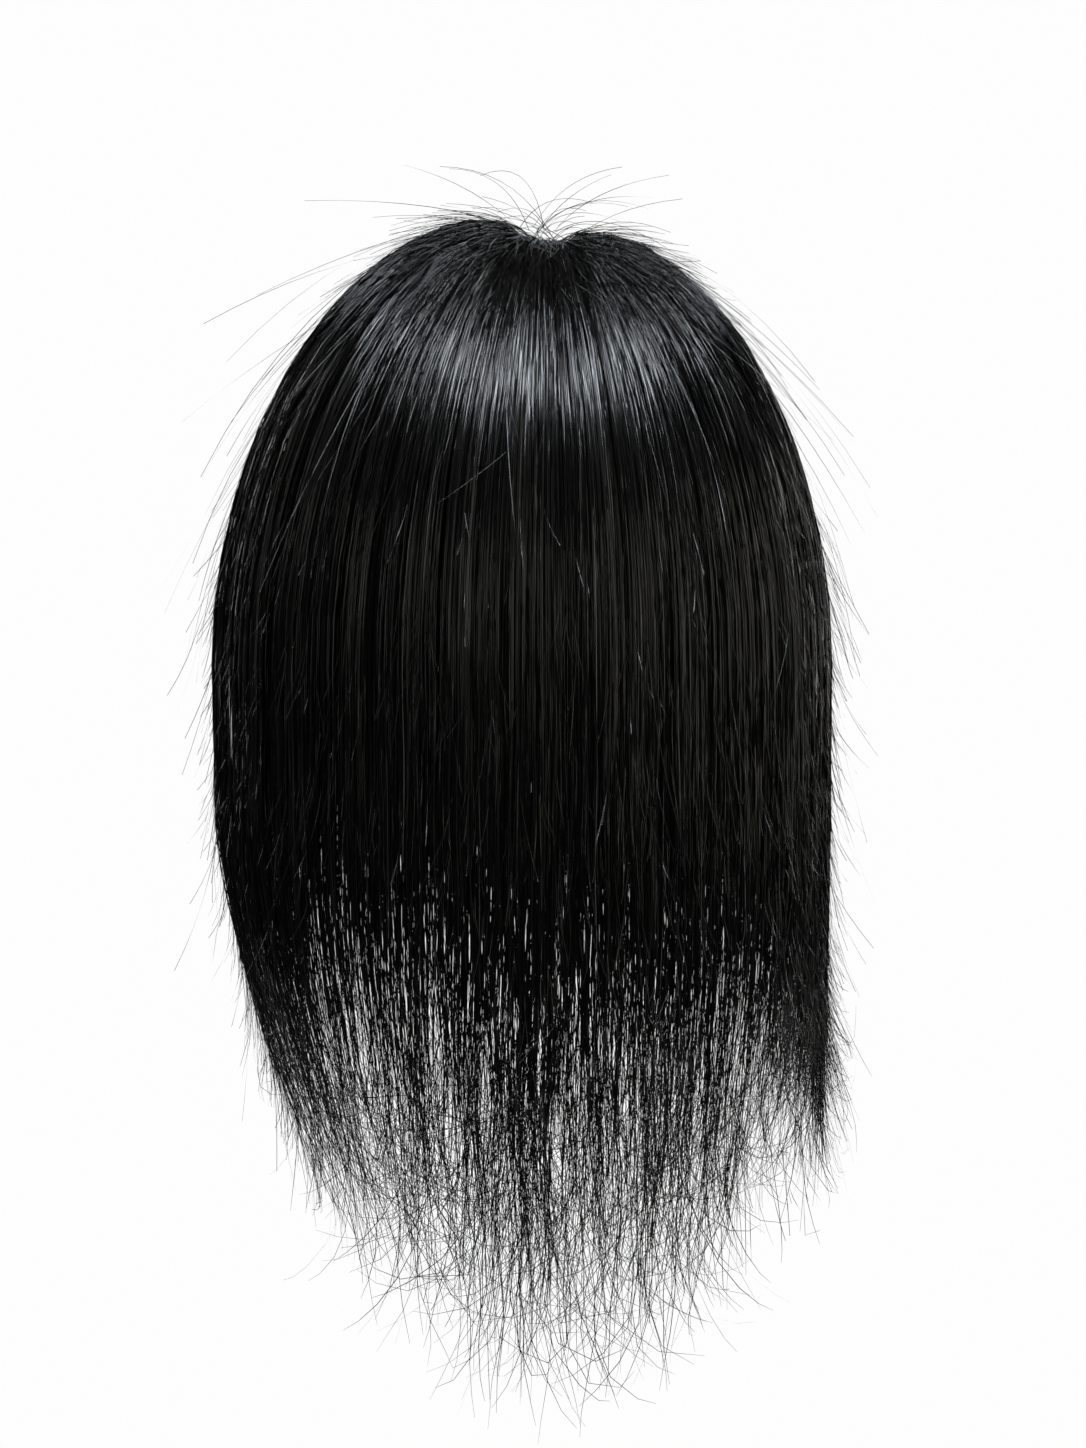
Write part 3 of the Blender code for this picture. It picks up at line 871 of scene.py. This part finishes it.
def hair_material(name, glossiest, dullest):
    """Glossy black hair. Each strand has its own tone, and its gloss varies a little along it."""
    material, tree, shader = new_material(name)
    tone = tree.nodes.new("ShaderNodeAttribute")
    tone.attribute_name = "tone"
    black = (0.0006, 0.0006, 0.0007, 1)
    dark = (0.0120, 0.0107, 0.0092, 1)
    light = (0.10, 0.09, 0.08, 1)
    value = multiplied(tree, tone.outputs["Fac"], 1 / LIGHT_TONE)
    colour_by(tree, shader, value, ((0, black), (0.5, dark), (1, light)))
    unevenness = add_noise(tree, scale=90, detail=2)
    roughness_by(tree, shader, unevenness, glossiest, dullest)
    shader.inputs["Specular IOR Level"].default_value = 0.5
    return material


def net_material():
    """Matt dark net and tape, with a fine weave raised on it. Its colour is painted shade: darker in the
    weave's hollows and lighter on its raised threads.
    """
    material, tree, shader = new_material("dark_net")
    place = object_place(tree)
    waves = []
    for direction in ("X", "Y"):
        wave = tree.nodes.new("ShaderNodeTexWave")
        wave.bands_direction = direction
        wave.inputs["Scale"].default_value = 420
        tree.links.new(place, wave.inputs["Vector"])
        waves.append(wave.outputs["Fac"])
    height = multiplied(tree, *waves)
    # Painted shade: the colour follows the weave's height, from this darker tone in its hollows to the
    # lighter one on its raised threads
    dark = (0.008, 0.007, 0.0065, 1)
    light = (0.034, 0.029, 0.026, 1)
    colour_by(tree, shader, height, ((0, dark), (1, light)))
    bump_by(tree, shader, height, strength=0.5, distance=0.0002)
    shader.inputs["Roughness"].default_value = 0.75
    shader.inputs["Specular IOR Level"].default_value = 0.25
    return material


def clip_material():
    """Black painted spring steel: a satin film, slightly uneven, and thinner here and there."""
    material, tree, shader = new_material("black_painted_steel")
    unevenness = add_noise(tree, scale=380, detail=6)
    paint = (0.010, 0.010, 0.011, 1)
    thin_paint = (0.060, 0.058, 0.056, 1)
    colour_by(tree, shader, unevenness, ((0.35, paint), (0.8, thin_paint)))
    roughness_by(tree, shader, unevenness, glossiest=0.25, dullest=0.45)
    bump_by(tree, shader, unevenness, strength=0.15, distance=0.0001)
    return material


def painted_clips(material):
    for name in SNAP_CLIPS:
        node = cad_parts[name]
        node.data.materials.clear()
        node.data.materials.append(material)


def add_light(name, location, size, power, color, target):
    data = bpy.data.lights.new(name, "AREA")
    data.shape = "RECTANGLE"
    data.size, data.size_y = size
    data.energy = power
    data.color = color
    lamp = bpy.data.objects.new(name, data)
    bpy.context.scene.collection.objects.link(lamp)
    lamp.location = location
    lamp.rotation_mode = "QUATERNION"
    lamp.rotation_quaternion = (Vector(target) - Vector(location)).to_track_quat("-Z", "Y")
    lamp.visible_camera = False


def pale_floor():
    """A round pale floor far below, which its glow makes nearly as bright as the surround."""
    turns = np.linspace(0, 2 * math.pi, FLOOR_SIDES, endpoint=False)
    rim = stack(FLOOR_RADIUS * np.cos(turns), FLOOR_RADIUS * np.sin(turns), FLOOR_LEVEL)
    mesh = bpy.data.meshes.new("floor")
    mesh.from_pydata(rim.tolist(), [], [list(range(FLOOR_SIDES))])
    floor = bpy.data.objects.new("floor", mesh)
    bpy.context.scene.collection.objects.link(floor)
    material, tree, shader = new_material("pale_floor")
    shader.inputs["Base Color"].default_value = (0.9, 0.9, 0.89, 1)
    shader.inputs["Roughness"].default_value = 0.9
    shader.inputs["Emission Color"].default_value = (1, 1, 0.99, 1)
    ray = tree.nodes.new("ShaderNodeLightPath")
    glow = multiplied(tree, ray.outputs["Is Camera Ray"], FLOOR_GLOW)
    tree.links.new(glow, shader.inputs["Emission Strength"])
    mesh.materials.append(material)


def white_surround():
    """A surround that is seen as white and lights the piece only faintly."""
    world = bpy.data.worlds.new("white_surround")
    bpy.context.scene.world = world
    world.use_nodes = True
    tree = world.node_tree
    tree.nodes.clear()
    seen = tree.nodes.new("ShaderNodeBackground")
    seen.inputs["Color"].default_value = (0.985, 0.985, 0.985, 1)
    lighting = tree.nodes.new("ShaderNodeBackground")
    lighting.inputs["Color"].default_value = (0.9, 0.95, 1.0, 1)
    lighting.inputs["Strength"].default_value = 0.03
    path = tree.nodes.new("ShaderNodeLightPath")
    mix = tree.nodes.new("ShaderNodeMixShader")
    out = tree.nodes.new("ShaderNodeOutputWorld")
    tree.links.new(path.outputs["Is Camera Ray"], mix.inputs["Fac"])
    tree.links.new(lighting.outputs[0], mix.inputs[1])
    tree.links.new(seen.outputs[0], mix.inputs[2])
    tree.links.new(mix.outputs[0], out.inputs["Surface"])


def studio():
    pale_floor()
    white_surround()
    for light in LIGHTS:
        add_light(**dict(zip(LIGHT_COLUMNS, light)))
    bpy.context.scene.view_settings.view_transform = "Standard"


def camera():
    data = bpy.data.cameras.new("camera")
    data.sensor_width = SENSOR
    data.lens = PIXELS_PER_METRE * CAMERA_DISTANCE / IMAGE_HEIGHT * SENSOR
    eye = bpy.data.objects.new("camera", data)
    bpy.context.scene.collection.objects.link(eye)
    back = np.array((0, -math.cos(CAMERA_ELEVATION), math.sin(CAMERA_ELEVATION)))
    eye.location = np.array(VIEW_CENTRE) + CAMERA_DISTANCE * back
    eye.rotation_euler = (math.pi / 2 - CAMERA_ELEVATION, 0, 0)
    bpy.context.scene.camera = eye


camera()
studio()
strand_material = hair_material("black_hair_strands", glossiest=0.14, dullest=0.23)
for number, (name, (start, end)) in enumerate(SECTIONS.items()):
    hair_section(name, start, end, number + 1, strand_material)
flyaway_hairs(hair_material("black_loose_hairs", glossiest=0.18, dullest=0.30))
cap_net(net_material())
painted_clips(clip_material())
